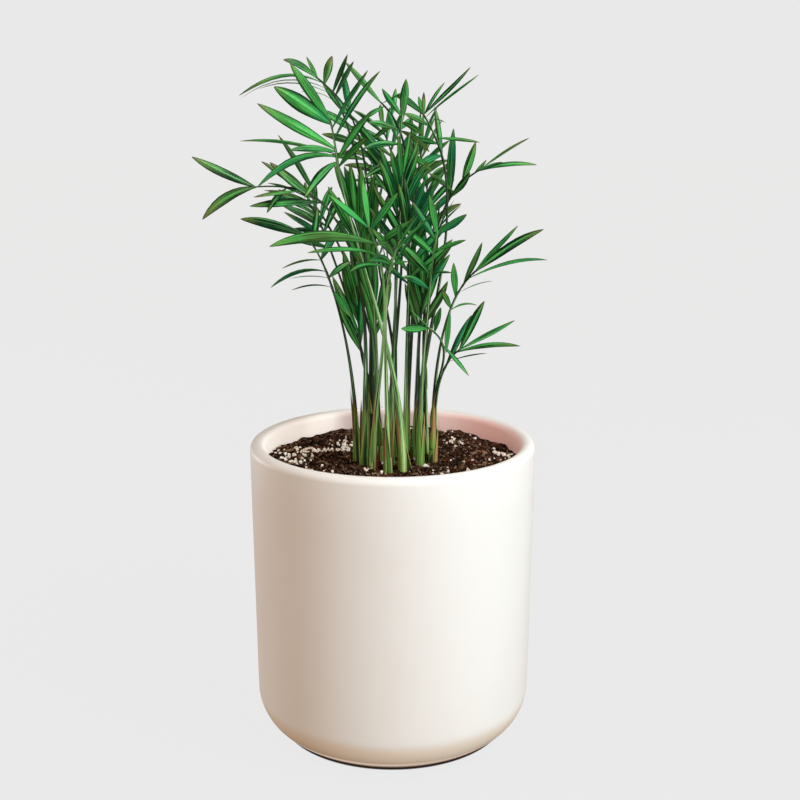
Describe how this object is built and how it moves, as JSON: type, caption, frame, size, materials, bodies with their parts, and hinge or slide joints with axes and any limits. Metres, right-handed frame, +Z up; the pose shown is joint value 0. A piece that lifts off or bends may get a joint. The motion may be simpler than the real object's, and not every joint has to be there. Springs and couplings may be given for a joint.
{
  "type": "potted palm plant",
  "caption": "Tuft of young palm shoots with narrow pinnate leaflets, growing from potting soil in a round, thick-walled cream pot with a rounded lip and a rounded foot.",
  "frame": {"origin": "centre of the pot's flat underside", "axes": "+Z up along the pot's axis, -Y towards the viewer of the picture, +X to the viewer's right"},
  "size_m": [0.1735, 0.1652, 0.3561],
  "materials": {
    "glaze": "satin glaze, warm white",
    "soil": "dark, loose potting mix",
    "leaf": "living leaves and stems, softly glossy"
  },
  "bodies": {
    "root": {"pot": "glaze", "soil": "soil", "shoot_01": "leaf", "shoot_02": "leaf", "shoot_03": "leaf", "shoot_04": "leaf", "shoot_05": "leaf", "shoot_06": "leaf", "shoot_07": "leaf", "shoot_08": "leaf", "shoot_09": "leaf", "shoot_10": "leaf", "shoot_11": "leaf", "shoot_12": "leaf", "shoot_13": "leaf", "shoot_14": "leaf", "shoot_15": "leaf", "shoot_16": "leaf", "shoot_17": "leaf", "shoot_18": "leaf"}
  },
  "joints": []
}
